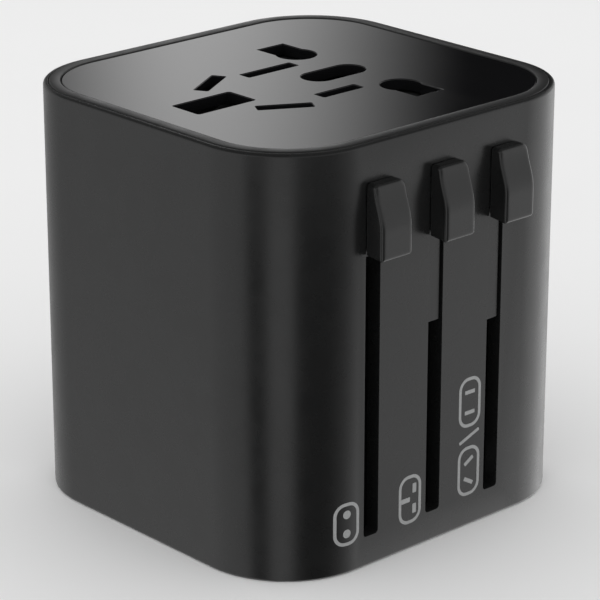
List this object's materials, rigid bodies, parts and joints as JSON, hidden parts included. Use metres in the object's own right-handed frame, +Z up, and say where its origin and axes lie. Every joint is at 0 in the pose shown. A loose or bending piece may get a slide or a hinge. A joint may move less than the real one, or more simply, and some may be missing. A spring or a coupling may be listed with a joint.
{
  "type": "universal travel adapter",
  "caption": "Rounded-square black block with a multi-pattern socket face on top and thumb sliders on the front that push round pins, rectangular pins or swivelling flat blades out of the base.",
  "frame": {"origin": "centre of the case's base, on the flat underside that it stands on", "axes": "+Z up out of the socket face, -Y out of the front where the slider knobs are, +X to the right seen from the front"},
  "size_m": [0.053, 0.0537, 0.0537],
  "materials": {
    "case": "satin black moulded shell",
    "rim": "satin black band",
    "face": "mirror-gloss black plate",
    "base": "fine-textured black",
    "knob": "satin black",
    "slider_plastic": "satin black",
    "inner_plastic": "matte black",
    "sleeve": "black insulating sleeve",
    "pin_metal": "bright nickel plate",
    "contact_brass": "bare strip",
    "screw_steel": "zinc-plated",
    "spring_steel": "bright wire",
    "fuse_ceramic": "glazed"
  },
  "bodies": {
    "housing": {"outer_shell": "case", "rim_band": "rim", "face_plate": "face", "base_plate": "base", "base_screw_1": "screw_steel", "base_screw_2": "screw_steel", "base_screw_3": "screw_steel", "base_screw_4": "screw_steel", "guide_rail_left": "inner_plastic", "guide_rail_right": "inner_plastic", "socket_block": "inner_plastic", "line_contact": "contact_brass", "neutral_contact": "contact_brass", "earth_contact": "contact_brass", "fuse_contact": "contact_brass", "shutter_spring": "spring_steel"},
    "shutter_body": {"shutter": "inner_plastic"},
    "fuse_body": {"fuse_carrier": "base", "fuse_cap_lower": "pin_metal", "fuse_cap_upper": "pin_metal", "fuse_tube": "fuse_ceramic"},
    "eu_slider": {"eu_frame": "slider_plastic", "eu_pin_block": "base", "eu_pin_left": "pin_metal", "eu_pin_right": "pin_metal", "eu_knob": "knob"},
    "uk_slider": {"uk_frame": "slider_plastic", "uk_pin_earth": "pin_metal", "uk_pin_line": "pin_metal", "uk_pin_neutral": "pin_metal", "uk_sleeve_line": "sleeve", "uk_sleeve_neutral": "sleeve", "uk_knob": "knob"},
    "us_slider": {"us_frame": "slider_plastic", "us_knob": "knob"},
    "left_blade_body": {"left_blade_hub": "slider_plastic", "left_blade": "pin_metal"},
    "right_blade_body": {"right_blade_hub": "slider_plastic", "right_blade": "pin_metal"}
  },
  "joints": [
    {"name": "eu_slide", "type": "slide", "parent": "housing", "child": "eu_slider", "axis": [0, 0, -1], "range_m": [0, 0.0354]},
    {"name": "uk_slide", "type": "slide", "parent": "housing", "child": "uk_slider", "axis": [0, 0, -1], "range_m": [0, 0.0246]},
    {"name": "us_slide", "type": "slide", "parent": "housing", "child": "us_slider", "axis": [0, 0, -1], "range_m": [0, 0.0223]},
    {"name": "left_blade_swivel", "type": "hinge", "parent": "us_slider", "child": "left_blade_body", "pos_m": [0.0059, -0.0091, 0.025], "axis": [0, 0, 1], "range_deg": [0, 30]},
    {"name": "right_blade_swivel", "type": "hinge", "parent": "us_slider", "child": "right_blade_body", "pos_m": [0.0186, -0.0091, 0.025], "axis": [0, 0, -1], "range_deg": [0, 30]},
    {"name": "shutter_slide", "type": "slide", "parent": "housing", "child": "shutter_body", "axis": [1, 0, 0], "range_m": [0, 0.0056], "stiffness_N_per_m": 120, "springref_m": -0.004, "deforming": ["shutter_spring"]},
    {"name": "fuse_carrier_pull", "type": "slide", "parent": "housing", "child": "fuse_body", "axis": [0, 0, -1], "range_m": [0, 0.03]}
  ]
}
